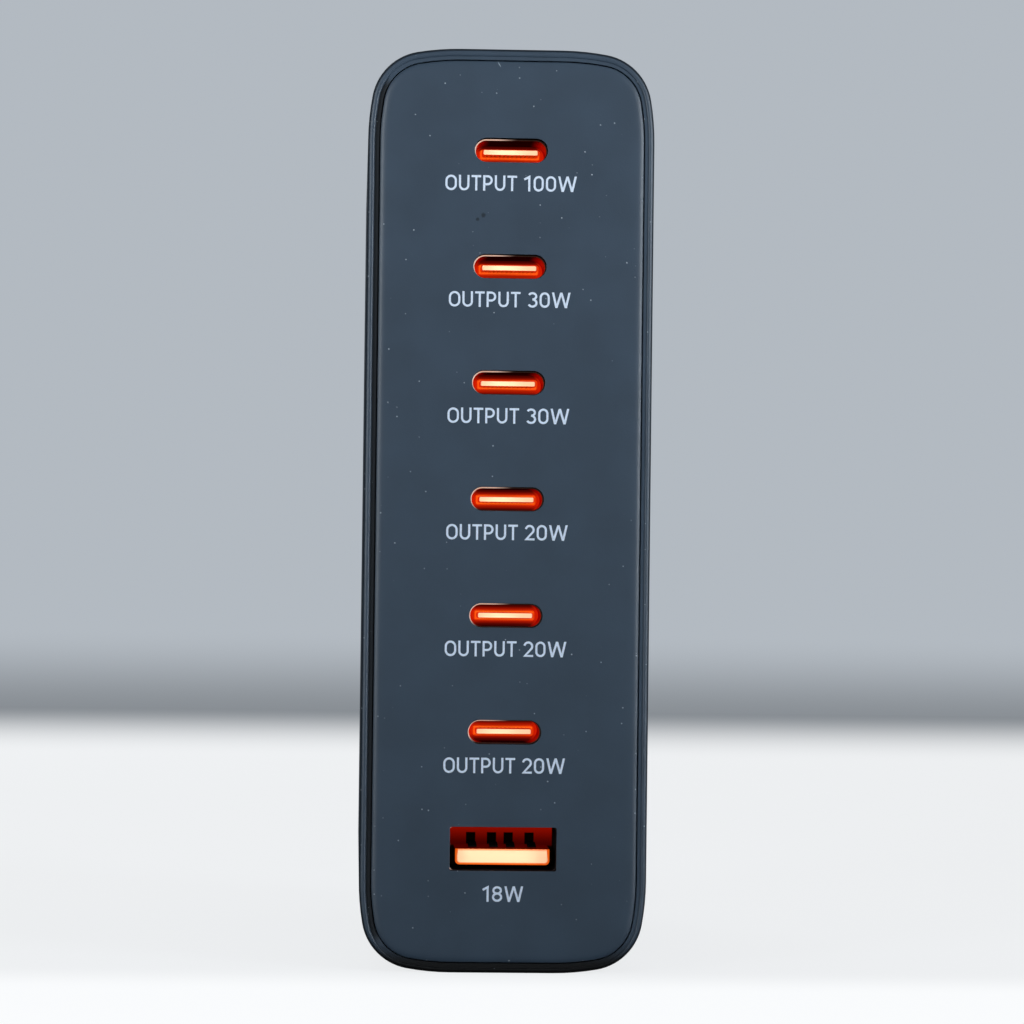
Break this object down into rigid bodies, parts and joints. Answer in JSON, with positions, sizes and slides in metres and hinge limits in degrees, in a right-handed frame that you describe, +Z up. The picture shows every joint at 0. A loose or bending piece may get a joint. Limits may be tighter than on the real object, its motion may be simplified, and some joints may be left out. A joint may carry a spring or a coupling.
{
  "type": "multi port usb desktop charger",
  "caption": "Tall slab-shaped desktop charger on its short end, with a column of sockets in an inset front panel and a mains inlet in the back.",
  "frame": {"origin": "middle of the base, on the table", "axes": "+Z up along the tall side, +X to the right seen from the front, sockets look along -Y"},
  "size_m": [0.0338, 0.086, 0.1084],
  "materials": {
    "housing_plastic": "fine matt texture, dark slate grey",
    "panel_plastic": "fine matt texture, dark slate grey",
    "socket_steel": "plain drawn steel",
    "socket_plastic": "bright orange moulding",
    "contact_plating": "thin gold plating",
    "circuit_board": "green solder mask",
    "moulded_powder": "pressed powder, dark grey",
    "component_case": "moulded, black",
    "capacitor_sleeve": "shrunk sleeve, dark blue",
    "ferrite": "ground ferrite",
    "winding": "taped winding, amber",
    "thermal_pad": "soft pad, pale blue",
    "filter_case": "boxed capacitor, yellow",
    "varistor_coat": "dipped coat, blue",
    "inlet_plastic": "moulded, black",
    "pin_plating": "nickel plated",
    "copper": "bare copper strip",
    "spreader_metal": "folded sheet, plain",
    "insulating_film": "folded film, milky"
  },
  "bodies": {
    "root": {"boost_inductor_coil": "winding", "boost_inductor_core": "ferrite", "boost_inductor_pad": "thermal_pad", "bridge_rectifier": "component_case", "bulk_capacitor_1": "capacitor_sleeve", "bulk_capacitor_2": "capacitor_sleeve", "choke_coils": "winding", "choke_core": "ferrite", "converter_capacitor_1": "component_case", "converter_capacitor_2": "component_case", "converter_capacitor_3": "component_case", "converter_capacitor_4": "component_case", "converter_capacitor_5": "component_case", "converter_capacitor_6": "component_case", "converter_capacitor_7": "component_case", "converter_inductor_1": "moulded_powder", "converter_inductor_2": "moulded_powder", "converter_inductor_3": "moulded_powder", "converter_inductor_4": "moulded_powder", "converter_inductor_5": "moulded_powder", "converter_inductor_6": "moulded_powder", "converter_inductor_7": "moulded_powder", "front_panel": "panel_plastic", "fuse": "component_case", "heat_spreader": "spreader_metal", "insulation_sheet": "insulating_film", "live_strap": "copper", "main_board": "circuit_board", "main_housing": "housing_plastic", "mains_inlet_body": "inlet_plastic", "mains_inlet_pins": "pin_plating", "neutral_strap": "copper", "port_board": "circuit_board", "suppression_capacitor": "filter_case", "transformer_coil": "winding", "transformer_core": "ferrite", "transformer_pad": "thermal_pad", "usb_a_contacts": "contact_plating", "usb_a_insulator": "socket_plastic", "usb_a_shell": "socket_steel", "usb_c_contacts_1": "contact_plating", "usb_c_contacts_2": "contact_plating", "usb_c_contacts_3": "contact_plating", "usb_c_contacts_4": "contact_plating", "usb_c_contacts_5": "contact_plating", "usb_c_contacts_6": "contact_plating", "usb_c_insulator_1": "socket_plastic", "usb_c_insulator_2": "socket_plastic", "usb_c_insulator_3": "socket_plastic", "usb_c_insulator_4": "socket_plastic", "usb_c_insulator_5": "socket_plastic", "usb_c_insulator_6": "socket_plastic", "usb_c_shell_1": "socket_steel", "usb_c_shell_2": "socket_steel", "usb_c_shell_3": "socket_steel", "usb_c_shell_4": "socket_steel", "usb_c_shell_5": "socket_steel", "usb_c_shell_6": "socket_steel", "varistor": "varistor_coat"}
  },
  "joints": []
}
